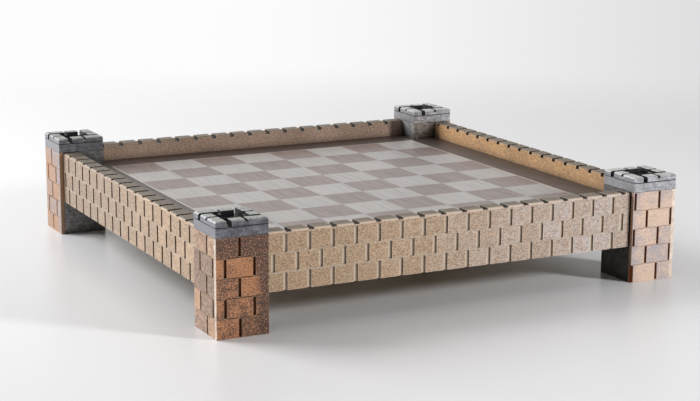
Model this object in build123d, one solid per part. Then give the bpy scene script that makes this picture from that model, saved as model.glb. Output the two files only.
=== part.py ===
from build123d import *
import os

# Wooden chessboard built like a small castle. All sizes are in millimetres.
# X runs along the front wall, Y from the front wall to the back wall, Z up from the ground.
# The origin is on the ground, under the middle of the board.

# Playing panel, which sets the size of all round it
square_side = 40.0
squares_per_side = 8
inlay_width = 1.4           # thin light line round the field
border_width = 30.2         # dark border between the light line and the walls
panel_clearance = 0.4       # play between the panel and the walls and posts
veneer_thickness = 1.0
core_thickness = 8.0

# Plan of the walls and towers
tower_side = 43.0           # outer side of one tower
wall_inset = 4.0            # how far a wall's outer face lies behind the tower faces
wall_thickness = 14.0

# Heights
course_height = 15.5        # one brick course on the towers
tower_courses = 5
open_courses = 2            # tower courses that show below the walls
cap_slab_height = 8.0
parapet_height = 5.0
field_height = 62.0         # top of the squares above the ground

# Brick pattern of the walls
wall_brick_pitch = 19.99
wall_slot_width = 3.5
wall_slot_depth = 1.5
wall_slot_end = 0.45        # wood left between a slot's end and the line of its course
wall_line_width = 0.4       # scored line between two courses
wall_line_depth = 0.4
wall_top_course = 17.0
wall_lower_course = 15.0
wall_slot_top_margin = 2.6  # plain wood above the top row of slots
outer_row_start = 15.5      # first slot of the top and bottom rows, from the wall's left end
middle_row_start = 5.4
slot_end_margin = 4.0       # least wood between the last slot and the wall's right end
wall_top_chamfer = 1.5
wall_inner_chamfer = 0.6
end_rebate_width = 1.4      # narrow shadow gap at the wall's right end
end_rebate_depth = 3.0

# Grooves across the top of the walls
groove_pitch = 19.27
groove_width = 5.0
groove_start = -0.7
groove_depth_outer = 1.4
groove_depth_inner = 3.2

# Brick plates of the towers
plate_thickness = 3.2
tower_slot_width = 2.4
tower_slot_end = 0.4
tower_line_width = 0.4
tower_line_depth = 0.6
tower_slot_margin = 0.8     # least distance of a slot's middle from the plate's inner edge
wide_plate_pitch = 23.7
wide_plate_starts = (19.2, 7.5, 19.2, 7.5, 19.4)    # first slot of each course, from the top down
narrow_plate_pitch = 24.6
narrow_plate_starts_left = (17.3, 6.3, 18.2, 6.0, 17.7)
narrow_plate_starts_right = (16.5, 4.2, 16.8, 4.0, 17.2)

# Caps of the towers
well_side = 19.0
bar_width = 9.2
bar_gap = 4.2               # gap between a bar's side and the end of the next bar
bar_chamfer = 1.1
bar_notch_start = 24.0      # from the outer corner that the bar's neighbour covers
bar_notch_width = 2.5
bar_notch_depth = 2.5

# Cleats and fasteners
cleat_width = 14.0
cleat_height = 13.0
cleat_end_clearance = 1.0
screw_shank = 3.0
screw_head = 6.0
screw_head_height = 1.8
screw_play = 0.1            # radial play of a screw in its hole
screw_slot_width = 0.9
screw_slot_depth = 0.9
cleat_screw_bite = 8.0      # length of a cleat screw inside the wall
panel_screw_bite = 5.0      # length of a panel screw inside the core
cleat_screw_spacing = 120.0
cleat_screws_per_side = 3
panel_screw_spacing = 150.0
panel_screws_per_side = 2
dowel_diameter = 6.0
dowel_in_wall = 14.0
dowel_in_post = 12.0
dowel_play = 0.1
dowels_per_joint = 2
dowel_spacing = 22.0

# Places that follow from the sizes above, each a distance from the middle or from the ground
field_half = square_side * squares_per_side / 2
inlay_half = field_half + inlay_width
panel_half = inlay_half + border_width
wall_inner_face = panel_half + panel_clearance
wall_outer_face = wall_inner_face + wall_thickness
half = wall_outer_face + wall_inset     # outer faces of the towers
tower_inner = half - tower_side
tower_top = course_height * tower_courses
wall_bottom = course_height * open_courses
wall_top = tower_top
slab_top = tower_top + cap_slab_height
parapet_top = slab_top + parapet_height
post_outer = half - plate_thickness
core_top = field_height - veneer_thickness
core_bottom = core_top - core_thickness
notch_corner = tower_inner - panel_clearance
cleat_length = 2 * (tower_inner - cleat_end_clearance)
cleat_bottom = core_bottom - cleat_height

SIDES = ("front", "right", "back", "left")
CORNERS = ("front_left", "front_right", "back_right", "back_left")


def block(x_span, y_span, z_span):
    """Box between two opposite corners."""
    spans = (x_span, y_span, z_span)
    centre = [(low + high) / 2 for low, high in spans]
    return Pos(*centre) * Box(*[high - low for low, high in spans])


def peg(start, direction, length, diameter):
    """Round rod that starts at a point and runs along a direction."""
    base = Plane(origin=start, z_dir=direction)
    return extrude(base * Circle(diameter / 2), amount=length)


def turned(shape, quarter):
    """Shape of the front side or front left corner, turned to another one."""
    return Rot(0, 0, 90 * quarter) * shape


def save(shape, name):
    """Write one node as a STEP file."""
    shape.label = name
    export_step(shape, os.path.join("parts", name + ".step"))


def save_group(shapes, name):
    """Write alike pieces as one node of separate solids."""
    solids = [solid for shape in shapes for solid in shape.solids()]
    save(Compound(label=name, children=solids), name)


def row_places(start, pitch, end):
    """Places from start on, one pitch apart, up to end."""
    places = []
    place = start
    while place <= end:
        places.append(place)
        place += pitch
    return places


# Walls

def wall_blank():
    """Beam of the front wall with its top edges eased."""
    outer, inner = -wall_outer_face, -wall_inner_face
    profile = Polygon(
        (outer, wall_bottom),
        (inner, wall_bottom),
        (inner, wall_top - wall_inner_chamfer),
        (inner - wall_inner_chamfer, wall_top),
        (outer + wall_top_chamfer, wall_top),
        (outer, wall_top - wall_top_chamfer),
        align=None,
    )
    return extrude(Plane.YZ.offset(-tower_inner) * profile, amount=2 * tower_inner)


def wall_rows():
    """Lowest and highest point and first slot of each row of bricks, from the top down."""
    upper_line = wall_top - wall_top_course
    lower_line = upper_line - wall_lower_course
    return (
        (upper_line + wall_slot_end, wall_top - wall_slot_top_margin, outer_row_start),
        (lower_line + wall_slot_end, upper_line - wall_slot_end, middle_row_start),
        (wall_bottom - wall_slot_depth, lower_line - wall_slot_end, outer_row_start),
    )


def wall_slots():
    """Sawn slots between the bricks of the front wall."""
    depth_span = (-wall_outer_face - wall_slot_depth, -wall_outer_face + wall_slot_depth)
    cutters = []
    for low, high, start in wall_rows():
        for place in row_places(start, wall_brick_pitch, 2 * tower_inner - slot_end_margin):
            middle = place - tower_inner
            x_span = (middle - wall_slot_width / 2, middle + wall_slot_width / 2)
            cutters.append(block(x_span, depth_span, (low, high)))
    return cutters


def wall_lines():
    """Scored lines between the courses of the front wall."""
    depth_span = (-wall_outer_face - wall_line_depth, -wall_outer_face + wall_line_depth)
    x_span = (-tower_inner - wall_line_width, tower_inner + wall_line_width)
    upper_line = wall_top - wall_top_course
    cutters = []
    for line in (upper_line, upper_line - wall_lower_course):
        z_span = (line - wall_line_width / 2, line + wall_line_width / 2)
        cutters.append(block(x_span, depth_span, z_span))
    return cutters


def wall_grooves():
    """Grooves across the top of the front wall, deeper towards the playing field."""
    outer, inner = -wall_outer_face, -wall_inner_face
    slope = (groove_depth_inner - groove_depth_outer) / wall_thickness
    overrun = groove_width
    profile = Polygon(
        (outer - overrun, wall_top - groove_depth_outer + slope * overrun),
        (inner + overrun, wall_top - groove_depth_inner - slope * overrun),
        (inner + overrun, wall_top + overrun),
        (outer - overrun, wall_top + overrun),
        align=None,
    )
    cutters = []
    for place in row_places(groove_start, groove_pitch, 2 * tower_inner - slot_end_margin):
        left = place - tower_inner - groove_width / 2
        cutters.append(extrude(Plane.YZ.offset(left) * profile, amount=groove_width))
    return cutters


def wall_end_rebate():
    """Narrow shadow gap beside the tower at the front wall's right end."""
    return block(
        (tower_inner - end_rebate_width, tower_inner + end_rebate_width),
        (-wall_outer_face - end_rebate_depth, -wall_outer_face + end_rebate_depth),
        (wall_bottom - end_rebate_width, wall_top + end_rebate_width),
    )


# Dowels and screws

def dowel_axes():
    """Start point on the joint face and direction into the wall, for the front wall's dowels."""
    middle_y = -(wall_outer_face + wall_inner_face) / 2
    middle_z = (wall_bottom + wall_top) / 2
    first = middle_z - dowel_spacing * (dowels_per_joint - 1) / 2
    axes = []
    for end in (-1, 1):
        for count in range(dowels_per_joint):
            point = (end * tower_inner, middle_y, first + dowel_spacing * count)
            axes.append((point, (-end, 0, 0)))
    return axes


def dowel_rods(into_wall, into_post, diameter):
    """Rods on the front wall's dowel axes that reach into the wall and into the posts."""
    rods = []
    for (x, y, z), direction in dowel_axes():
        start = (x - direction[0] * into_post, y, z)
        rods.append(peg(start, direction, into_wall + into_post, diameter))
    return rods


def dowel_holes():
    """Blind holes for the front wall's dowels."""
    play = dowel_play
    return dowel_rods(dowel_in_wall + play, dowel_in_post + play, dowel_diameter + 2 * play)


def spread(count, spacing):
    """Places of a row that is centred on the side."""
    return [(index - (count - 1) / 2) * spacing for index in range(count)]


def cleat_screw_heads():
    """Head points and directions of the screws that hold the front cleat to its wall."""
    y = -wall_inner_face + cleat_width
    z = cleat_bottom + cleat_height / 2
    return [((x, y, z), (0, -1, 0)) for x in spread(cleat_screws_per_side, cleat_screw_spacing)]


def panel_screw_heads():
    """Head points and directions of the screws that hold the core to the front cleat."""
    y = -wall_inner_face + cleat_width / 2
    places = spread(panel_screws_per_side, panel_screw_spacing)
    return [((x, y, cleat_bottom), (0, 0, 1)) for x in places]


def countersunk(head, length, play):
    """Countersunk screw body, grown by a play all round, without its slot."""
    point, direction = head
    plane = Plane(origin=point, z_dir=direction)
    shank_radius = screw_shank / 2 + play
    head_radius = screw_head / 2 + play
    profile = Plane.XZ * Polygon(
        (0, 0),
        (head_radius, 0),
        (shank_radius, screw_head_height + play),
        (shank_radius, length + play),
        (0, length + play),
        align=None,
    )
    return plane.location * revolve(profile, axis=Axis.Z)


def screw(head, length):
    """Countersunk wood screw with a straight slot."""
    point, direction = head
    slot = Box(screw_head * 2, screw_slot_width, screw_slot_depth * 2)
    return countersunk(head, length, 0) - Plane(origin=point, z_dir=direction).location * slot


# Posts and brick plates, as they stand at the front left corner

def tower_post():
    """Square post of the front left tower with the dowel holes of both its walls."""
    span = (-post_outer, -tower_inner)
    post = block(span, span, (0, tower_top))
    return post - dowel_holes() - [turned(hole, 3) for hole in dowel_holes()]


def plate_slot_places(starts, pitch):
    """For each course from the top down, the places of its slots from the outer corner."""
    return [row_places(start, pitch, tower_side - tower_slot_margin) for start in starts]


def plate_cutters(starts, pitch):
    """Slots and scored lines of a brick plate on the front face of the front left tower."""
    cutters = []
    depth_span = (-half - plate_thickness, -post_outer + plate_thickness)
    line_span = (-half - tower_line_depth, -half + tower_line_depth)
    for row, places in enumerate(plate_slot_places(starts, pitch)):
        course_top = tower_top - row * course_height
        low = course_top - course_height + tower_slot_end
        high = course_top - tower_slot_end
        for place in places:
            middle = place - half
            x_span = (middle - tower_slot_width / 2, middle + tower_slot_width / 2)
            cutters.append(block(x_span, depth_span, (low, high)))
        if row:
            z_span = (course_top - tower_line_width / 2, course_top + tower_line_width / 2)
            x_span = (-half - plate_thickness, -tower_inner + plate_thickness)
            cutters.append(block(x_span, line_span, z_span))
    return cutters


def wide_brick_plate():
    """Plate that covers the whole front face of the front left tower."""
    plate = block((-half, -tower_inner), (-half, -post_outer), (0, tower_top))
    return plate - plate_cutters(wide_plate_starts, wide_plate_pitch)


def narrow_brick_plate(starts):
    """Plate on the left face of the front left tower, behind the end of the wide plate."""
    plate = block((-post_outer, -tower_inner), (-half, -post_outer), (0, tower_top))
    plate = plate - plate_cutters(starts, narrow_plate_pitch)
    return Rot(0, 0, -90) * mirror(plate, about=Plane.YZ)


# Caps, as they stand at the front left corner

def cap_slab():
    """Square slab with a square well."""
    span = (-half, -tower_inner)
    middle = -half + tower_side / 2
    hole = (middle - well_side / 2, middle + well_side / 2)
    slab = block(span, span, (tower_top, slab_top))
    return slab - block(hole, hole, (tower_top - cap_slab_height, slab_top + cap_slab_height))


def parapet_bar():
    """Front bar of the front left cap, with its notch and its top edges eased."""
    left = -half + bar_width + bar_gap
    bar = block((left, -tower_inner), (-half, -half + bar_width), (slab_top, parapet_top))
    top_edges = bar.edges().group_by(Axis.Z)[-1]
    bar = chamfer(top_edges.sort_by(Axis.Y)[0], bar_chamfer)
    right_edge = bar.edges().group_by(Axis.Z)[-1].sort_by(Axis.X)[-1]
    bar = chamfer(right_edge, bar_chamfer)
    notch_left = -half + bar_notch_start
    notch = block(
        (notch_left, notch_left + bar_notch_width),
        (-half - bar_width, -half + 2 * bar_width),
        (parapet_top - bar_notch_depth, parapet_top + bar_notch_depth),
    )
    return bar - notch


def parapet_bar_at(corner, side):
    """Parapet bar turned inside its cap, then carried to its corner."""
    middle = -half + tower_side / 2
    to_axis = Pos(-middle, -middle, 0)
    in_cap = Pos(middle, middle, 0) * Rot(0, 0, 90 * side) * to_axis * parapet_bar()
    return turned(in_cap, corner)


# Playing panel

def panel_core():
    """Board under the squares, notched round the four posts."""
    core = block((-panel_half, panel_half), (-panel_half, panel_half), (core_bottom, core_top))
    for corner in range(4):
        notch = block(
            (-half, -notch_corner),
            (-half, -notch_corner),
            (core_bottom - core_thickness, core_top + core_thickness),
        )
        core = core - turned(notch, corner)
    return core


def squares(colour):
    """All squares of one colour, light with colour 0 and dark with colour 1."""
    tiles = []
    for column in range(squares_per_side):
        for row in range(squares_per_side):
            if (column + row) % 2 != colour:
                continue
            left = -field_half + column * square_side
            front = -field_half + row * square_side
            x_span = (left, left + square_side)
            y_span = (front, front + square_side)
            tiles.append(block(x_span, y_span, (core_top, field_height)))
    return tiles


def mitred_strip(inner, outer):
    """Front strip of a square frame between two half sides, mitred at its ends."""
    profile = Polygon((-outer, -outer), (outer, -outer), (inner, -inner), (-inner, -inner), align=None)
    return extrude(Plane.XY.offset(core_top) * profile, amount=veneer_thickness)


def inlay_strip():
    """Front strip of the light line round the field."""
    return mitred_strip(field_half, inlay_half)


def border_strip():
    """Front strip of the dark border, cut back round the posts."""
    strip = mitred_strip(inlay_half, panel_half)
    z_span = (core_top - veneer_thickness, field_height + veneer_thickness)
    for end in (-1, 1):
        x_span = sorted((end * notch_corner, end * half))
        strip = strip - block(x_span, (-half, -notch_corner), z_span)
    return strip


def cleat():
    """Front cleat, which carries the panel."""
    y_span = (-wall_inner_face, -wall_inner_face + cleat_width)
    return block((-cleat_length / 2, cleat_length / 2), y_span, (cleat_bottom, core_bottom))


# Screw lengths follow from what they pass through
cleat_screw_length = cleat_width + cleat_screw_bite
panel_screw_length = cleat_height + panel_screw_bite


def cleat_screw_bodies(play):
    """Screw bodies of the front cleat and its wall."""
    return [countersunk(head, cleat_screw_length, play) for head in cleat_screw_heads()]


def panel_screw_bodies(play):
    """Screw bodies of the front cleat and the core."""
    return [countersunk(head, panel_screw_length, play) for head in panel_screw_heads()]


def drilled_cleat():
    """Front cleat with its screw holes."""
    return cleat() - cleat_screw_bodies(screw_play) - panel_screw_bodies(screw_play)


def build():
    os.makedirs("parts", exist_ok=True)

    wall = wall_blank() - wall_slots() - wall_lines() - wall_grooves() - wall_end_rebate()
    wall = wall - dowel_holes() - cleat_screw_bodies(screw_play)
    post = tower_post()
    core = panel_core()
    for side, name in enumerate(SIDES):
        save(turned(wall, side), "wall_" + name)
        save(turned(drilled_cleat(), side), "cleat_" + name)
        save(turned(inlay_strip(), side), "inlay_line_" + name)
        save(turned(border_strip(), side), "border_" + name)
        core = core - [turned(body, side) for body in panel_screw_bodies(screw_play)]
    save(core, "panel_core")
    save_group(squares(0), "light_squares")
    save_group(squares(1), "dark_squares")

    narrow_starts = (
        narrow_plate_starts_left,
        narrow_plate_starts_right,
        narrow_plate_starts_right,
        narrow_plate_starts_left,
    )
    for corner, name in enumerate(CORNERS):
        save(turned(post, corner), "post_" + name)
        save(turned(wide_brick_plate(), corner), "wide_brick_plate_" + name)
        save(turned(narrow_brick_plate(narrow_starts[corner]), corner), "narrow_brick_plate_" + name)
        save(turned(cap_slab(), corner), "cap_slab_" + name)
        for side in range(4):
            bar_name = "parapet_bar_" + name + "_" + SIDES[(side + corner) % 4]
            save(parapet_bar_at(corner, side), bar_name)

    cleat_screws = [screw(head, cleat_screw_length) for head in cleat_screw_heads()]
    panel_screws = [screw(head, panel_screw_length) for head in panel_screw_heads()]
    dowels = dowel_rods(dowel_in_wall, dowel_in_post, dowel_diameter)
    for name, pieces in (
        ("cleat_screws", cleat_screws),
        ("panel_screws", panel_screws),
        ("wall_dowels", dowels),
    ):
        save_group([turned(piece, side) for side in range(4) for piece in pieces], name)


build()
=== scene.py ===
import math

import bpy
from mathutils import Matrix, Vector

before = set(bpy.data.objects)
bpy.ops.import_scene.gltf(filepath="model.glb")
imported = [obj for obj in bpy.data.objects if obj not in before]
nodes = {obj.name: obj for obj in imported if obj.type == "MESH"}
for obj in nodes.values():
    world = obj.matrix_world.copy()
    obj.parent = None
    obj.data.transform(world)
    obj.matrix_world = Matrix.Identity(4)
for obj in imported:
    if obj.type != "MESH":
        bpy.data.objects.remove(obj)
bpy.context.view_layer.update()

# Sizes of the board that the materials follow, in metres
WALL_FACE = 0.206
WALL_INNER = 0.192
WALL_TOP = 0.0775
WALL_BOTTOM = 0.031
TOWER_FACE = 0.210
POST_FACE = 0.2068
TOWER_INNER = 0.167
COURSE = 0.0155
SQUARE = 0.040
WALL_RUN = 0.334
WALL_STARTS = (0.0155, 0.0054)
WALL_PITCH = 0.01999
WALL_ROW_DROPS = (0.017, 0.032)  # from the top down to the lines between the three brick rows
WALL_SLOT_DEPTH = 0.0015
WALL_CHAMFER = 0.0015
TOWER_SIDE = 0.043
SLAB_TOP = 0.0855
SIDES = ("front", "right", "back", "left")
CORNERS = ("front_left", "front_right", "back_right", "back_left")

# Tones that all walls share
WALL_BLUSH = (0.42, 0.27, 0.185)
WALL_WORN = (0.86, 0.75, 0.63)
CHAMFER_HIGHLIGHT = (0.78, 0.64, 0.52)
ROW_LINE = (0.80, 0.66, 0.52)
GROOVE_SHADE = (0.022, 0.015, 0.011)
SLOT_SHADE = (0.035, 0.02, 0.012)
SLOT_SIDE_SHADE = (0.022, 0.011, 0.006)
SLOT_FLOOR = (0.60, 0.48, 0.37)
CORNER_SHADE = (0.02, 0.014, 0.010)
# Tones that all brick plates share
PLATE_WORN = (0.85, 0.66, 0.47)
PLATE_LINE = (0.05, 0.022, 0.012)
PLATE_OUTER_END = (0.90, 0.80, 0.69)
PLATE_INNER_END = (0.33, 0.17, 0.07)
# Tones that all caps and posts share
CAP_RUBBED = (0.80, 0.80, 0.76)
CAP_GAP = (0.010, 0.010, 0.011)
CAP_HOLLOW_SHADE = (0.007, 0.007, 0.007)
POST_CORNER_SHADE = (0.006, 0.006, 0.006)
POST_RUST = (0.24, 0.085, 0.03)


class Graph:
    """Short calls that build the nodes of one material."""

    def __init__(self, name):
        self.material = bpy.data.materials.new(name)
        self.material.use_nodes = True
        self.tree = self.material.node_tree
        self.tree.nodes.clear()

    def add(self, kind, links=None, **settings):
        node = self.tree.nodes.new("ShaderNode" + kind)
        for key, value in settings.items():
            setattr(node, key, value)
        for key, value in (links or {}).items():
            self.put(node.inputs[key], value)
        return node

    def put(self, socket, value):
        if isinstance(value, bpy.types.NodeSocket):
            self.tree.links.new(value, socket)
        else:
            socket.default_value = value

    def math(self, operation, a, b=0.0, clamp=False):
        return self.add("Math", {0: a, 1: b}, operation=operation, use_clamp=clamp).outputs[0]

    def ramp(self, value, low, high, out_low=0.0, out_high=1.0):
        """Smooth step of a value from one range to another, held at both ends."""
        node = self.add("MapRange", {0: value, 1: low, 2: high, 3: out_low, 4: out_high})
        node.interpolation_type = "SMOOTHSTEP"
        return node.outputs[0]

    def mix(self, factor, a, b, blend="MIX"):
        node = self.add("Mix", data_type="RGBA", blend_type=blend, clamp_factor=True)
        self.put(node.inputs[0], factor)
        self.put(node.inputs[6], a if isinstance(a, bpy.types.NodeSocket) else (*a, 1))
        self.put(node.inputs[7], b if isinstance(b, bpy.types.NodeSocket) else (*b, 1))
        return node.outputs[2]

    def place(self):
        return self.add("TexCoord").outputs["Object"]

    def axes(self, vector):
        return self.add("SeparateXYZ", {0: vector}).outputs

    def scaled(self, vector, scale, shift=(0, 0, 0)):
        node = self.add("Mapping", {"Vector": vector, "Scale": scale, "Location": shift})
        return node.outputs[0]

    def noise(self, vector, scale, detail=2.0, rough=0.5, distortion=0.0):
        links = {"Vector": vector, "Scale": scale, "Detail": detail, "Roughness": rough}
        links["Distortion"] = distortion
        return self.add("TexNoise", links).outputs["Fac"]

    def cells(self, vector):
        return self.add("TexWhiteNoise", {"Vector": vector}, noise_dimensions="3D").outputs["Value"]

    def wear(self, radius, low=0.03, high=0.22):
        """1 on edges, 0 on flats."""
        soft = self.add("Bevel", {"Radius": radius}, samples=6).outputs[0]
        flat = self.add("NewGeometry").outputs["Normal"]
        dot = self.add("VectorMath", {0: soft, 1: flat}, operation="DOT_PRODUCT").outputs["Value"]
        return self.ramp(self.math("SUBTRACT", 1.0, dot), low, high)

    def openness(self, distance, alone=True):
        """1 in the open, less in corners. Alone means that other pieces don't count."""
        return self.add("AmbientOcclusion", {"Distance": distance}, samples=6, only_local=alone).outputs["AO"]

    def finish(self, colour, rough, height=None, bump=0.0002, metallic=0.0, coat=0.0, coat_rough=0.2, specular=0.5):
        bsdf = self.add("BsdfPrincipled", {"Base Color": colour, "Roughness": rough, "Metallic": metallic})
        bsdf.inputs["Coat Weight"].default_value = coat
        bsdf.inputs["Coat Roughness"].default_value = coat_rough
        bsdf.inputs["Specular IOR Level"].default_value = specular
        if height is not None:
            links = {"Height": height, "Strength": 1.0, "Distance": bump}
            self.put(bsdf.inputs["Normal"], self.add("Bump", links).outputs[0])
        out = self.add("OutputMaterial")
        self.tree.links.new(bsdf.outputs[0], out.inputs[0])
        return self.material


def stretch(axis, along, across):
    """Scale of a grain that runs along one axis."""
    return tuple(along if index == axis else across for index in range(3))


def wood_fields(g, axis, seed):
    """Place, and the patches, grain lines and pores of a wood whose grain runs along an axis."""
    place = g.place()
    shifted = g.scaled(place, (1, 1, 1), (seed * 0.37, seed * 0.19, seed * 0.53))
    patches = g.noise(shifted, 32, 3, 0.6)
    grain = g.noise(g.scaled(shifted, stretch(axis, 70, 760)), 1.0, 3, 0.6, 0.2)
    pores = g.noise(g.scaled(shifted, stretch(axis, 700, 950)), 1.0, 2, 0.75)
    return place, patches, grain, pores


def past_slot(g, along, odd, starts):
    """Distance from the first slot of the row. Odd rows start at the second place."""
    start = g.add("Mix", {0: odd, 2: starts[0], 3: starts[1]}, data_type="FLOAT").outputs[0]
    return g.math("SUBTRACT", along, start)


def brick_shade(g, past, row, pitch, seed):
    """Random shade of each brick of a row pattern."""
    column = g.math("FLOOR", g.math("DIVIDE", past, pitch))
    return g.cells(g.add("CombineXYZ", {0: column, 1: row, 2: seed}).outputs[0])


def between(g, value, low, high):
    """1 between two sharp limits, else 0."""
    return g.math("MULTIPLY", g.math("GREATER_THAN", value, low), g.math("LESS_THAN", value, high))


def wall_material(name, axis, face_sign, run_sign, seed, tan, grey, far, inner, edge_amount):
    """Oiled wall wood: bricks with pale slot floors outside, plain inside, with painted shade: dark slot sides and
    grooves, darker slots and inner corners; the pale chamfer along the top is a painted highlight.
    """
    g = Graph(name)
    place, patches, grain, pores = wood_fields(g, axis, seed)
    xyz = g.axes(place)
    across = g.math("MULTIPLY", xyz[1 - axis], face_sign)
    up = xyz[2]
    along = g.math("ADD", g.math("MULTIPLY", xyz[axis], run_sign), TOWER_INNER)

    row = g.math("ADD", *[g.math("GREATER_THAN", up, WALL_TOP - drop) for drop in WALL_ROW_DROPS])
    middle = g.math("COMPARE", row, 1.0)
    past = past_slot(g, along, middle, WALL_STARTS)
    brick = brick_shade(g, past, row, WALL_PITCH, seed)
    base = g.mix(g.ramp(patches, 0.3, 0.7), tan, grey)
    base = g.mix(g.ramp(along, 0.04, WALL_RUN, 0.0, 0.9), base, far)
    base = g.mix(g.ramp(along, 0.0, 0.10, 0.28, 0.0), base, [c * 0.5 for c in tan])
    base = g.mix(g.ramp(brick, 0.0, 1.0, 0.0, 0.45), base, [c * 0.72 for c in tan])
    blush = g.noise(g.scaled(place, (1, 1, 1), (0, seed, seed)), 260, 3, 0.7, 0.5)
    base = g.mix(g.ramp(blush, 0.42, 0.66, 0.0, 0.6), base, WALL_BLUSH)
    is_inner = g.ramp(across, WALL_FACE - 0.0045, WALL_FACE - 0.0035, 1.0, 0.0)
    is_top = g.ramp(up, WALL_TOP - 0.0008, WALL_TOP - 0.0004)
    inner_tone = g.mix(g.ramp(patches, 0.3, 0.7), inner, [c * 0.72 for c in inner])
    base = g.mix(g.math("MULTIPLY", is_inner, g.math("SUBTRACT", 1.0, is_top)), base, inner_tone)
    top_tone = g.mix(g.ramp(patches, 0.3, 0.7), TOP, [c * 0.7 for c in TOP])
    base = g.mix(g.math("MULTIPLY", is_top, 0.95), base, top_tone)
    colour = g.mix(g.ramp(grain, 0.38, 0.68, 0.0, 0.3), base, [c * 0.6 for c in tan])
    colour = g.mix(g.ramp(pores, 0.48, 0.66, 0.0, 0.7), colour, [c * 0.28 for c in tan])
    lifted = g.math("MULTIPLY", g.ramp(pores, 0.34, 0.48, 0.5, 0.0), g.math("SUBTRACT", 1.0, is_top))
    colour = g.mix(lifted, colour, [min(1, c * 1.5) for c in tan])

    # The pale band on the top front chamfer is a painted highlight, as strong as the wall's chamfer strength
    slope = g.math("ADD", g.math("SUBTRACT", WALL_FACE, across), g.math("SUBTRACT", WALL_TOP, up))
    eased = between(g, slope, WALL_CHAMFER - 0.0002, WALL_CHAMFER + 0.0002)
    eased = g.math("MULTIPLY", eased, g.math("GREATER_THAN", up, WALL_TOP - 0.0014))
    colour = g.mix(g.math("MULTIPLY", eased, edge_amount), colour, CHAMFER_HIGHLIGHT)
    worn = g.math("MULTIPLY", g.wear(0.0008), g.ramp(blush, 0.35, 0.65, 1.0, 0.4))
    worn = g.math("MULTIPLY", worn, g.math("SUBTRACT", 1.0, eased))
    colour = g.mix(worn, colour, WALL_WORN)
    seams = [g.math("ABSOLUTE", g.math("SUBTRACT", up, WALL_TOP - drop)) for drop in WALL_ROW_DROPS]
    seam = g.ramp(g.math("MINIMUM", *seams), 0.0003, 0.0006, 1.0, 0.0)
    seam = g.math("MULTIPLY", seam, g.math("GREATER_THAN", across, WALL_FACE - 0.0002))
    seam = g.math("MULTIPLY", seam, g.ramp(blush, 0.35, 0.6, 0.95, 0.5))
    colour = g.mix(seam, colour, ROW_LINE)
    # Painted shade: the grooves across the top are painted near black
    in_groove = between(g, across, WALL_INNER + 0.0003, WALL_FACE - 0.0017)
    in_groove = g.math("MULTIPLY", in_groove, g.ramp(up, WALL_TOP - 0.0006, WALL_TOP - 0.0002, 1.0, 0.0))
    colour = g.mix(g.math("MULTIPLY", in_groove, 0.95), colour, GROOVE_SHADE)
    slot_floor = WALL_FACE - WALL_SLOT_DEPTH
    slot_height = between(g, up, WALL_BOTTOM + 0.0002, WALL_TOP - 0.0024)
    # The sides of the slots are painted near black: painted shade
    deep = g.ramp(across, WALL_FACE - 0.0003, WALL_FACE - 0.0007)
    deep = g.math("MULTIPLY", deep, g.math("GREATER_THAN", across, slot_floor + 0.0001))
    deep = g.math("MULTIPLY", deep, slot_height)
    sawn = g.math("MULTIPLY", between(g, across, slot_floor - 0.0001, slot_floor + 0.0001), slot_height)
    # Painted shade in narrow recesses such as the slots; the sawn slot floors are paler wood
    hollow_shade = g.ramp(g.openness(0.002), 0.40, 0.85, 0.6, 0.0)
    colour = g.mix(hollow_shade, colour, SLOT_SHADE)
    colour = g.mix(g.math("MULTIPLY", deep, 0.95), colour, SLOT_SIDE_SHADE)
    colour = g.mix(g.math("MULTIPLY", sawn, 0.9), colour, SLOT_FLOOR)
    # Painted shade on the inner faces, in the corners by the posts and the board
    corner = g.ramp(g.openness(0.014, False), 0.35, 0.75, 0.8, 0.0)
    colour = g.mix(g.math("MULTIPLY", corner, is_inner), colour, CORNER_SHADE)
    rough = g.ramp(pores, 0.3, 0.7, 0.40, 0.6)
    return g.finish(colour, rough, g.math("ADD", grain, pores), 0.0001, specular=0.35)


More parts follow.
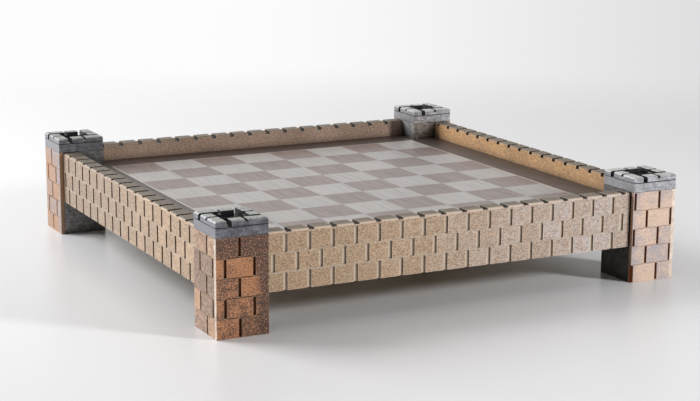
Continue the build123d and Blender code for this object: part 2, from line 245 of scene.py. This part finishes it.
def plate_material(name, axis, run_sign, pattern, seed, looks, patch=None):
    """Stained brick plate: orange brown bricks with scorched dark patches and worn edges."""
    g = Graph(name)
    starts, pitch = pattern
    bright, dark, amount, line_amount, slot_tone, edge_amount, speckle = looks
    place, patches, grain, pores = wood_fields(g, axis, seed)
    xyz = g.axes(place)
    up = xyz[2]
    along = g.math("ADD", g.math("MULTIPLY", xyz[axis], run_sign), TOWER_FACE)
    across = g.math("ABSOLUTE", xyz[1 - axis])
    row = g.math("FLOOR", g.math("DIVIDE", up, COURSE))
    odd = g.math("MODULO", row, 2.0)
    brick = brick_shade(g, past_slot(g, along, odd, starts), row, pitch, seed)
    blot = g.noise(g.scaled(place, (1, 1, 1), (seed, 0, seed)), 150, 5, 0.75, 0.4)
    speck = g.noise(place, 850, 3, 0.75)
    side = g.ramp(along, 0.030, TOWER_SIDE, 0.0, edge_amount)
    height = g.ramp(up, 0.055, WALL_TOP, 0.0, edge_amount * 0.7)
    scorch = g.math("ADD", blot, g.math("MULTIPLY", patches, 0.4))
    scorch = g.math("ADD", scorch, g.math("MULTIPLY", brick, 0.3))
    scorch = g.math("ADD", scorch, g.math("ADD", side, height))
    scorch = g.math("ADD", scorch, g.math("MULTIPLY", g.math("SUBTRACT", speck, 0.5), speckle))
    if patch:
        low, high, low_z, high_z, change = patch
        inside = g.math("MULTIPLY", between(g, along, low, high), between(g, up, low_z, high_z))
        scorch = g.math("ADD", scorch, g.math("MULTIPLY", inside, change))
    scorch = g.ramp(scorch, 0.70, 1.08, 0.0, amount)
    colour = g.mix(scorch, bright, dark)
    colour = g.mix(g.ramp(grain, 0.35, 0.7, 0.0, 0.3), colour, [c * 0.55 for c in bright])
    colour = g.mix(g.ramp(pores, 0.5, 0.66, 0.0, 0.55 * speckle), colour, [c * 0.22 for c in bright])
    colour = g.mix(g.ramp(pores, 0.34, 0.47, 0.5 * speckle, 0.0), colour, [min(1, c * 1.6 + 0.05) for c in bright])
    worn = g.math("MULTIPLY", g.wear(0.0008), g.ramp(blot, 0.35, 0.6, 0.2, 0.85))
    colour = g.mix(worn, colour, PLATE_WORN)
    line = g.math("ABSOLUTE", g.math("SUBTRACT", g.math("MODULO", up, COURSE), COURSE / 2))
    in_line = g.math("MULTIPLY", g.ramp(line, COURSE / 2 - 0.0005, COURSE / 2 - 0.0002), line_amount)
    in_line = g.math("MULTIPLY", in_line, g.ramp(across, TOWER_FACE - 0.0001, TOWER_FACE - 0.0003))
    colour = g.mix(in_line, colour, PLATE_LINE)
    inside = g.ramp(across, TOWER_FACE - 0.0005, TOWER_FACE - 0.0009)
    body = between(g, along, 0.00015, TOWER_SIDE - 0.00015)
    colour = g.mix(g.math("MULTIPLY", inside, body), colour, slot_tone)
    outer_end = g.math("MULTIPLY", g.math("LESS_THAN", along, 0.00025), g.ramp(blot, 0.3, 0.6, 0.95, 0.5))
    colour = g.mix(outer_end, colour, PLATE_OUTER_END)
    inner_end = g.math("MULTIPLY", inside, g.math("GREATER_THAN", along, TOWER_SIDE - 0.00015))
    colour = g.mix(g.math("MULTIPLY", inner_end, 0.8), colour, PLATE_INNER_END)
    rough = g.ramp(pores, 0.3, 0.7, 0.36, 0.58)
    return g.finish(colour, rough, g.math("ADD", grain, blot), 0.00012)


def stain_base(g, seed, tone):
    """Place, patches, grain, pores, cloud and streaked colour of a grey stain."""
    place, patches, grain, pores = wood_fields(g, 0, seed)
    cloud = g.noise(g.scaled(place, (1, 1, 1), (seed, seed, 0)), 220, 4, 0.7, 0.3)
    colour = g.mix(g.ramp(cloud, 0.35, 0.65), [c * 0.8 for c in tone], [min(1, c * 1.6) for c in tone])
    colour = g.mix(g.ramp(grain, 0.35, 0.7, 0.0, 0.6), colour, [c * 0.5 for c in tone])
    colour = g.mix(g.ramp(pores, 0.5, 0.66, 0.0, 0.6), colour, [c * 0.3 for c in tone])
    return place, patches, grain, pores, cloud, colour


def cap_material(name, seed, tone, left_light_gain, top):
    """Grey stained cap with painted light and sheen on its left side, a lighter top that is partly rubbing and partly
    painted light, rubbed edges, black gaps, well and seams, and painted shade in its hollows.
    """
    g = Graph(name)
    place, patches, grain, pores, cloud, colour = stain_base(g, seed, tone)
    normal = g.axes(g.add("NewGeometry").outputs["Normal"])
    # Faces that look left take a lighter or darker copy of the tone: painted light and sheen
    to_left = g.ramp(normal[0], -0.5, -0.9)
    left_lit_tone = [min(1, c * left_light_gain) for c in tone]
    colour = g.mix(g.math("MULTIPLY", to_left, 0.8), colour, left_lit_tone)
    # Up-facing faces take a lighter top tone: partly a rubbed finish, partly painted light from above
    up_facing = g.ramp(normal[2], 0.5, 0.95)
    colour = g.mix(g.math("MULTIPLY", up_facing, g.ramp(cloud, 0.35, 0.65, 0.35, 0.95)), colour, top)
    worn = g.math("MULTIPLY", g.wear(0.0008), g.ramp(patches, 0.3, 0.6, 0.35, 0.9))
    colour = g.mix(worn, colour, CAP_RUBBED)

    xyz = g.axes(place)
    reaches = []
    for axis in (0, 1):
        offset = g.math("SUBTRACT", g.math("ABSOLUTE", xyz[axis]), (TOWER_FACE + TOWER_INNER) / 2)
        reaches.append(g.math("ABSOLUTE", offset))
    reach = g.math("MAXIMUM", *reaches)
    within = g.math("LESS_THAN", reach, TOWER_SIDE / 2 - 0.0003)
    upright = g.ramp(g.math("ABSOLUTE", normal[2]), 0.3, 0.5, 0.92, 0.0)
    colour = g.mix(g.math("MULTIPLY", within, upright), colour, CAP_GAP)
    for height in (SLAB_TOP, WALL_TOP):
        seam = g.ramp(g.math("ABSOLUTE", g.math("SUBTRACT", xyz[2], height)), 0.0002, 0.0006, 0.95, 0.0)
        colour = g.mix(seam, colour, CAP_GAP)
    # Painted shade in the hollows of the cap
    hollow_shade = g.ramp(g.openness(0.004), 0.5, 0.95, 0.97, 0.0)
    colour = g.mix(hollow_shade, colour, CAP_HOLLOW_SHADE)
    return g.finish(colour, g.ramp(pores, 0.3, 0.7, 0.34, 0.55), g.math("ADD", grain, pores), 0.0001, 0.5)


def post_material(name, seed, tone):
    """Post with the dull shine of graphite, brown where the slots of the plates show it, and painted shade in the
    corners of its inner faces.
    """
    g = Graph(name)
    place, patches, grain, pores, cloud, colour = stain_base(g, seed, tone)
    xyz = g.axes(place)
    reach = g.math("MAXIMUM", g.math("ABSOLUTE", xyz[0]), g.math("ABSOLUTE", xyz[1]))
    outer = g.ramp(reach, POST_FACE - 0.0006, POST_FACE - 0.0002)
    # Painted shade in the corners of the post's inner faces
    hollow_shade = g.ramp(g.openness(0.02, False), 0.30, 0.85, 0.95, 0.0)
    colour = g.mix(g.math("MULTIPLY", hollow_shade, g.math("SUBTRACT", 1.0, outer)), colour, POST_CORNER_SHADE)
    colour = g.mix(outer, colour, POST_RUST)
    metallic = g.math("MULTIPLY", g.math("SUBTRACT", 1.0, outer), 0.85)
    return g.finish(colour, g.ramp(pores, 0.3, 0.7, 0.34, 0.5), g.math("ADD", grain, pores), 0.0001, metallic)


def veneer_material(name, axis, seed, tone, streak, per_square, coat=0.6):
    """Veneer under satin lacquer with fine streaks along its grain."""
    g = Graph(name)
    place, patches, grain, pores = wood_fields(g, axis, seed)
    xyz = g.axes(place)
    lines = g.noise(g.scaled(place, stretch(axis, 25, 900), (seed, 0, 0)), 1.0, 3, 0.65)
    fine = g.noise(place, 1500, 1, 0.5)
    colour = g.mix(g.ramp(lines, 0.38, 0.66), tone, streak)
    colour = g.mix(g.ramp(fine, 0.4, 0.7, 0.0, 0.35), colour, [c * 0.45 for c in tone])
    if per_square:
        column = g.math("FLOOR", g.math("DIVIDE", xyz[0], SQUARE))
        row = g.math("FLOOR", g.math("DIVIDE", xyz[1], SQUARE))
        cell = g.cells(g.add("CombineXYZ", {0: column, 1: row, 2: seed}).outputs[0])
        colour = g.mix(g.ramp(cell, 0.0, 1.0, 0.0, 0.22), colour, [c * 0.55 for c in tone])
    rough = g.ramp(lines, 0.3, 0.7, 0.36, 0.5)
    return g.finish(colour, rough, g.math("ADD", lines, fine), 0.00006, coat=coat, coat_rough=0.28)


def raw_wood(name, axis, seed, tone, dark):
    """Bare wood of the hidden pieces."""
    g = Graph(name)
    place, patches, grain, pores = wood_fields(g, axis, seed)
    colour = g.mix(g.ramp(grain, 0.3, 0.7), tone, dark)
    colour = g.mix(g.ramp(patches, 0.3, 0.7, 0.0, 0.35), colour, [c * 0.8 for c in tone])
    colour = g.mix(g.ramp(pores, 0.55, 0.68, 0.0, 0.5), colour, [c * 0.4 for c in dark])
    return g.finish(colour, g.ramp(pores, 0.3, 0.7, 0.55, 0.75), g.math("ADD", grain, pores), 0.00012)


def steel_material():
    """Screw steel with brushed gloss and faint blots."""
    g = Graph("screw_steel")
    place = g.place()
    brushed = g.noise(g.scaled(place, (900, 900, 200)), 1.0, 2, 0.6)
    blots = g.noise(place, 300, 3, 0.6)
    colour = g.mix(g.ramp(blots, 0.35, 0.65), (0.62, 0.58, 0.48), (0.48, 0.46, 0.42))
    return g.finish(colour, g.ramp(brushed, 0.3, 0.7, 0.22, 0.42), brushed, 0.00005, metallic=1.0)


def paint(name, material):
    """Gives a node its only material."""
    data = nodes[name].data
    data.materials.clear()
    data.materials.append(material)


def ease(name, width, segments=2):
    """Joins the faces of a node along its edges and rounds the edges a little."""
    piece = nodes[name]
    weld = piece.modifiers.new("weld", "WELD")
    weld.merge_threshold = 0.00001
    bevel = piece.modifiers.new("eased", "BEVEL")
    bevel.width = width
    bevel.segments = segments
    bevel.limit_method = "ANGLE"
    bevel.angle_limit = math.radians(35)
    bevel.loop_slide = False


TAN = (0.50, 0.345, 0.215)
GREY_TAN = (0.46, 0.345, 0.24)
PINK_GREY = (0.58, 0.555, 0.58)
LEFT_TAN = (0.40, 0.305, 0.225)
LEFT_GREY = (0.37, 0.30, 0.24)
LEFT_FAR = (0.68, 0.48, 0.315)
TOP = (0.065, 0.056, 0.040)
# Grain axis, signs of the outer face and of the run, seed, near tones, far tone, inner tone, strength of the highlight
# painted on the chamfer
WALLS = {
    "front": (0, -1, 1, 1.0, TAN, GREY_TAN, PINK_GREY, (0.36, 0.24, 0.14), 0.5),
    "right": (1, 1, 1, 2.0, TAN, GREY_TAN, PINK_GREY, (0.58, 0.33, 0.15), 0.5),
    "back": (0, 1, -1, 3.0, TAN, GREY_TAN, PINK_GREY, (0.385, 0.27, 0.22), 0.5),
    "left": (1, -1, -1, 4.0, LEFT_TAN, LEFT_GREY, LEFT_FAR, (0.40, 0.26, 0.14), 0.0),
}
for side in SIDES:
    paint("wall_" + side, wall_material("wall_wood_" + side, *WALLS[side]))
    ease("wall_" + side, 0.0003)

WIDE = ((0.0192, 0.0075), 0.0237)
NARROW_LEFT = ((0.0177, 0.0061), 0.0246)
NARROW_RIGHT = ((0.0168, 0.0041), 0.0246)
LILAC = (0.38, 0.345, 0.38)
SLOT_BROWN = (0.10, 0.034, 0.012)
SLOT_RUST = (0.24, 0.075, 0.025)
# Bright and dark tone, amount of the dark tone, strength of the course lines, tone of the slots, darker edges,
# speckle
BURNT = ((0.44, 0.20, 0.095), (0.034, 0.025, 0.027), 0.97, 0.9, SLOT_BROWN, 0.5, 1.4)
# The light rosy tone is partly the plates' own stain and partly a painted sheen
ROSY = ((0.68, 0.50, 0.385), LILAC, 0.9, 0.12, SLOT_RUST, 0.25, 0.6)
SANDY = ((0.56, 0.345, 0.21), (0.15, 0.105, 0.095), 0.85, 0.25, SLOT_BROWN, 0.0, 1.0)
RUSSET = ((0.46, 0.25, 0.14), (0.20, 0.14, 0.13), 0.85, 0.4, SLOT_RUST, 0.1, 1.0)
PALE = ((0.44, 0.24, 0.13), (0.33, 0.29, 0.29), 0.95, 0.4, SLOT_RUST, 0.3, 0.8)
CLEAN_BRICK = (0.0075, 0.0312, 0.0465, 0.062, -0.3)
GREY_BAND = (0.0, 0.043, 0.031, 0.062, 0.28)
plates = {
    "wide_brick_plate_front_left": (0, 1, WIDE, 5.0, BURNT, CLEAN_BRICK),
    "narrow_brick_plate_front_left": (1, 1, NARROW_LEFT, 6.0, SANDY, GREY_BAND),
    "narrow_brick_plate_front_right": (0, -1, NARROW_RIGHT, 7.0, ROSY),
    "wide_brick_plate_front_right": (1, 1, WIDE, 8.0, RUSSET),
    "wide_brick_plate_back_right": (0, -1, WIDE, 9.0, ROSY),
    "narrow_brick_plate_back_right": (1, -1, NARROW_RIGHT, 10.0, RUSSET),
    "wide_brick_plate_back_left": (1, -1, WIDE, 11.0, PALE),
    "narrow_brick_plate_back_left": (0, 1, NARROW_LEFT, 12.0, RUSSET),
}
for name, values in plates.items():
    paint(name, plate_material("plate_wood_%d" % values[3], *values))
    ease(name, 0.0003)

# Tone of each cap, darker on the left towers and lighter on the right ones as a painted sheen; the factor from it to
# that of its left side, which paints light and sheen there; the tone of its top, partly painted light; and the tone of
# its post, darker on the post in shadow and lighter on the lit one as painted light and shade
CAPS = {
    "front_left": ((0.150, 0.149, 0.168), 1.6, (0.34, 0.35, 0.31), 0.30),
    "front_right": ((0.45, 0.45, 0.48), 0.42, (0.44, 0.45, 0.40), 0.11),
    "back_right": ((0.45, 0.445, 0.46), 0.42, (0.40, 0.40, 0.37), 0.48),
    "back_left": ((0.18, 0.179, 0.195), 1.55, (0.29, 0.30, 0.27), 0.24),
}
for index, corner in enumerate(CORNERS):
    tone, left_light_gain, top, post_tone = CAPS[corner]
    cap = cap_material("cap_stain_and_light_" + corner, 20.0 + index, tone, left_light_gain, top)
    paint("cap_slab_" + corner, cap)
    ease("cap_slab_" + corner, 0.0004)
    for side in SIDES:
        paint("parapet_bar_" + corner + "_" + side, cap)
        ease("parapet_bar_" + corner + "_" + side, 0.0004)
    paint("post_" + corner, post_material("post_stain_and_light_" + corner, 30.0 + index, (post_tone,) * 3))
    ease("post_" + corner, 0.0004)

# Tone and streak of each veneer
LIGHT = ((0.30, 0.28, 0.265), (0.22, 0.205, 0.195))
DARK = ((0.135, 0.085, 0.07), (0.07, 0.043, 0.037))
INLAY = ((0.42, 0.36, 0.30), (0.32, 0.27, 0.22))
BORDER = ((0.026, 0.014, 0.010), (0.016, 0.009, 0.007))
paint("light_squares", veneer_material("light_veneer", 1, 41.0, *LIGHT, True, 0.5))
paint("dark_squares", veneer_material("dark_veneer", 1, 42.0, *DARK, True, 0.5))
for index, side in enumerate(SIDES):
    axis = index % 2
    line = veneer_material("inlay_wood_" + side, axis, 50.0 + index, *INLAY, False)
    band = veneer_material("border_veneer_" + side, axis, 60.0 + index, *BORDER, False, 0.08)
    cleat = raw_wood("cleat_wood_" + side, axis, 70.0 + index, (0.62, 0.47, 0.30), (0.45, 0.30, 0.16))
    paint("inlay_line_" + side, line)
    paint("border_" + side, band)
    paint("cleat_" + side, cleat)
    ease("cleat_" + side, 0.0006)
paint("panel_core", raw_wood("plywood", 0, 80.0, (0.58, 0.45, 0.29), (0.42, 0.30, 0.18)))
paint("wall_dowels", raw_wood("dowel_wood", 2, 81.0, (0.66, 0.52, 0.36), (0.5, 0.36, 0.22)))
steel = steel_material()
paint("cleat_screws", steel)
paint("panel_screws", steel)


# Floor, world, lamps and camera

def floor_mesh():
    """Round floor of rings, so that it can fade out towards the background."""
    rings, spokes, radius = 24, 96, 1.6
    verts = [(0, 0, 0)]
    faces = []
    for ring in range(1, rings + 1):
        for spoke in range(spokes):
            angle = 2 * math.pi * spoke / spokes
            reach = radius * ring / rings
            verts.append((reach * math.cos(angle), reach * math.sin(angle), 0))
    for spoke in range(spokes):
        following = (spoke + 1) % spokes
        faces.append((0, 1 + spoke, 1 + following))
        for ring in range(rings - 1):
            inner, outer = 1 + ring * spokes, 1 + (ring + 1) * spokes
            faces.append((inner + spoke, outer + spoke, outer + following, inner + following))
    mesh = bpy.data.meshes.new("floor")
    mesh.from_pydata(verts, [], faces)
    floor = bpy.data.objects.new("floor", mesh)
    bpy.context.scene.collection.objects.link(floor)
    floor.location.z = -0.00005
    return floor


def floor_material():
    """Plain pale paper that turns clear towards its rim, where the backdrop takes over."""
    g = Graph("floor_paper")
    place = g.place()
    distance = g.add("VectorMath", {0: place}, operation="LENGTH").outputs["Value"]
    mottle = g.noise(place, 400, 2, 0.5)
    colour = g.mix(g.ramp(mottle, 0.3, 0.7), (0.66, 0.66, 0.67), (0.68, 0.68, 0.69))
    bsdf = g.add("BsdfPrincipled", {"Base Color": colour, "Roughness": 0.3})
    bsdf.inputs["Specular IOR Level"].default_value = 0.4
    clear = g.add("BsdfTransparent")
    fade = g.ramp(distance, 0.55, 1.25)
    mixed = g.add("MixShader", {0: fade, 1: bsdf.outputs[0], 2: clear.outputs[0]})
    out = g.add("OutputMaterial")
    g.tree.links.new(mixed.outputs[0], out.inputs[0])
    return g.material


floor = floor_mesh()
floor.data.materials.append(floor_material())

AMBIENT = 0.25
BACKDROP = 1.0
TO_RIGHT = (0.89, -0.456, 0.0)
world = bpy.data.worlds.new("studio")
bpy.context.scene.world = world
world.use_nodes = True
tree = world.node_tree
tree.nodes.clear()
path = tree.nodes.new("ShaderNodeLightPath")
seen = path.outputs["Is Camera Ray"]
for ray in ("Is Glossy Ray", "Is Transmission Ray"):
    either = tree.nodes.new("ShaderNodeMath")
    either.operation = "MAXIMUM"
    tree.links.new(seen, either.inputs[0])
    tree.links.new(path.outputs[ray], either.inputs[1])
    seen = either.outputs[0]
level = tree.nodes.new("ShaderNodeMapRange")
tree.links.new(seen, level.inputs[0])
level.inputs[3].default_value = AMBIENT
level.inputs[4].default_value = BACKDROP
sky = tree.nodes.new("ShaderNodeBackground")
tree.links.new(level.outputs[0], sky.inputs["Strength"])

# The background is a little darker towards the right of the picture
direction = tree.nodes.new("ShaderNodeTexCoord")
to_right = tree.nodes.new("ShaderNodeVectorMath")
to_right.operation = "DOT_PRODUCT"
to_right.inputs[1].default_value = TO_RIGHT
tree.links.new(direction.outputs["Generated"], to_right.inputs[0])
shade = tree.nodes.new("ShaderNodeMapRange")
shade.interpolation_type = "SMOOTHSTEP"
for index, value in ((1, -0.10), (2, 0.30), (3, 0.98), (4, 0.70)):
    shade.inputs[index].default_value = value
tree.links.new(to_right.outputs["Value"], shade.inputs[0])
tree.links.new(shade.outputs[0], sky.inputs["Color"])
out = tree.nodes.new("ShaderNodeOutputWorld")
tree.links.new(sky.outputs[0], out.inputs[0])


def lamp(name, place, target, size, power):
    """Square white area lamp that looks at a point."""
    data = bpy.data.lights.new(name, "AREA")
    data.shape = "SQUARE"
    data.size = size
    data.energy = power
    made = bpy.data.objects.new(name, data)
    bpy.context.scene.collection.objects.link(made)
    made.location = place
    made.rotation_mode = "QUATERNION"
    made.rotation_quaternion = (Vector(target) - Vector(place)).to_track_quat("-Z", "Y")
    return made


key = lamp("key", (1.19, -1.57, 0.77), (0.0, 0.0, 0.06), 0.30, 34)
key.visible_glossy = False  # its reflection would burn out the board seen from behind
lamp("back_left", (-1.3, 1.1, 1.1), (0.0, 0.0, 0.05), 1.2, 53)
lamp("over", (0.0, -0.1, 1.8), (0.0, 0.0, 0.0), 1.4, 5)

LENS, SENSOR_WIDTH = 86.802, 36
EYE = Vector((-0.670862, -1.327414, 0.370982))
YAW, PITCH, ROLL = (math.radians(a) for a in (27.097, -12.335, 0.325))
forward = Vector((math.sin(YAW) * math.cos(PITCH), math.cos(YAW) * math.cos(PITCH), math.sin(PITCH)))
level_right = Vector((math.cos(YAW), -math.sin(YAW), 0))
level_up = level_right.cross(forward)
right = math.cos(ROLL) * level_right + math.sin(ROLL) * level_up
up = -math.sin(ROLL) * level_right + math.cos(ROLL) * level_up
camera_data = bpy.data.cameras.new("camera")
camera_data.lens = LENS
camera_data.sensor_width = SENSOR_WIDTH
camera_data.clip_start, camera_data.clip_end = 0.01, 50
camera = bpy.data.objects.new("camera", camera_data)
bpy.context.scene.collection.objects.link(camera)
camera.matrix_world = Matrix(
    (
        (right.x, up.x, -forward.x, EYE.x),
        (right.y, up.y, -forward.y, EYE.y),
        (right.z, up.z, -forward.z, EYE.z),
        (0, 0, 0, 1),
    )
)
bpy.context.scene.camera = camera
bpy.context.scene.view_settings.view_transform = "Standard"
